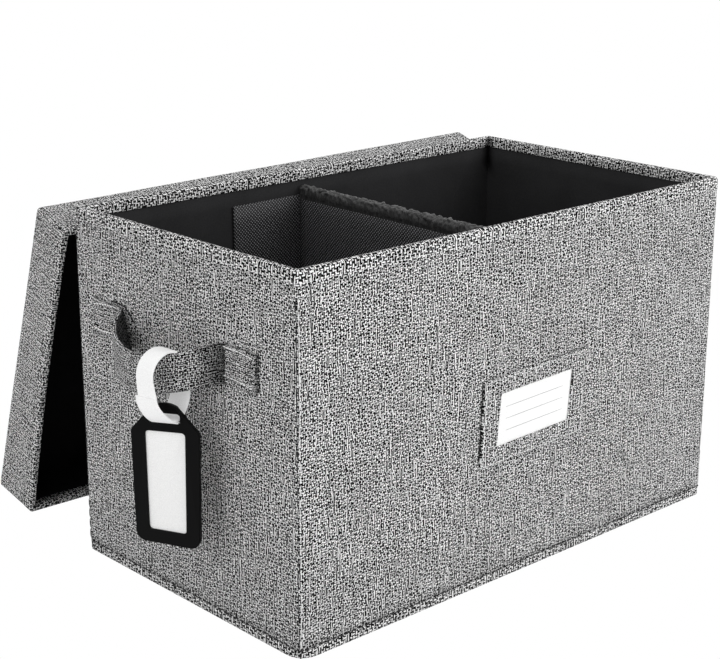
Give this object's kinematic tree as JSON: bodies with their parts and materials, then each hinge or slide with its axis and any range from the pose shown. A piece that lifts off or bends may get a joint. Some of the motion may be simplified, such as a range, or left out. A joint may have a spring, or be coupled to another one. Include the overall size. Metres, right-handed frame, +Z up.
{
  "type": "record carrying case",
  "caption": "Fabric-covered case for small records with an open top, a lift-off lid leaning behind it, a sliding divider, strap handles, a label pocket and a hanging tag.",
  "frame": {"origin": "centre of the flat underside of the box's base, on the surface it stands on", "axes": "+X along the box's long side to the right as the label is read, +Y from the label side to the leaning lid, +Z up"},
  "size_m": [0.4127, 0.2954, 0.2095],
  "materials": {
    "cover_fabric": "coarse plain weave in mixed black and white yarn, matt",
    "lining_fabric": "smooth black non-woven lining, matt",
    "stiff_board": "plain stiff board, hidden under the fabric",
    "card": "smooth white card",
    "tag_plastic": "satin black soft plastic",
    "loop_plastic": "satin white plastic band"
  },
  "bodies": {
    "box": {"base_cover": "cover_fabric", "base_board": "stiff_board", "front_board": "stiff_board", "rear_board": "stiff_board", "left_board": "stiff_board", "right_board": "stiff_board", "outer_cover": "cover_fabric", "rim_hem": "cover_fabric", "wall_lining": "lining_fabric", "floor_insert": "lining_fabric", "left_handle_end_front": "cover_fabric", "left_handle_end_rear": "cover_fabric", "right_handle_end_front": "cover_fabric", "right_handle_end_rear": "cover_fabric", "label_pocket": "cover_fabric"},
    "left_handle": {"left_handle": "cover_fabric"},
    "right_handle": {"right_handle": "cover_fabric"},
    "label_card": {"label_card": "card"},
    "divider": {"divider_board": "stiff_board", "divider_cover": "lining_fabric", "divider_ruffle": "lining_fabric", "divider_wing_rear": "lining_fabric", "divider_wing_front": "lining_fabric"},
    "loop": {"tag_loop": "loop_plastic"},
    "tag": {"tag_frame": "tag_plastic", "tag_card": "card"},
    "lid": {"lid_board_top": "stiff_board", "lid_board_upper": "stiff_board", "lid_board_foot": "stiff_board", "lid_board_left": "stiff_board", "lid_board_right": "stiff_board", "lid_cover": "cover_fabric", "lid_hem_upper": "cover_fabric", "lid_hem_foot": "cover_fabric", "lid_hem_left": "cover_fabric", "lid_hem_right": "cover_fabric", "lid_lining": "lining_fabric"}
  },
  "joints": [
    {"name": "lid_lift", "type": "slide", "parent": "box", "child": "lid", "axis": [0, 0, 1], "range_m": [0, 0.26]},
    {"name": "divider_shift", "type": "slide", "parent": "box", "child": "divider", "axis": [1, 0, 0], "range_m": [-0.09, 0.15]},
    {"name": "left_handle_swing", "type": "hinge", "parent": "box", "child": "left_handle", "pos_m": [-0.17, 0, 0.149], "axis": [0, 1, 0], "range_deg": [-3, 42]},
    {"name": "right_handle_swing", "type": "hinge", "parent": "box", "child": "right_handle", "pos_m": [0.17, 0, 0.149], "axis": [0, -1, 0], "range_deg": [-42, 42]},
    {"name": "loop_swing", "type": "hinge", "parent": "left_handle", "child": "loop", "pos_m": [-0.19766, -0.02263, 0.1483], "axis": [-0.2756, 0.9613, 0], "range_deg": [-3, 20]},
    {"name": "tag_swing", "type": "hinge", "parent": "loop", "child": "tag", "pos_m": [-0.19766, -0.02263, 0.1219], "axis": [-0.5446, 0.8387, 0], "range_deg": [-3, 40]},
    {"name": "card_slide", "type": "slide", "parent": "box", "child": "label_card", "axis": [0, 0, 1], "range_m": [0, 0.05]}
  ]
}
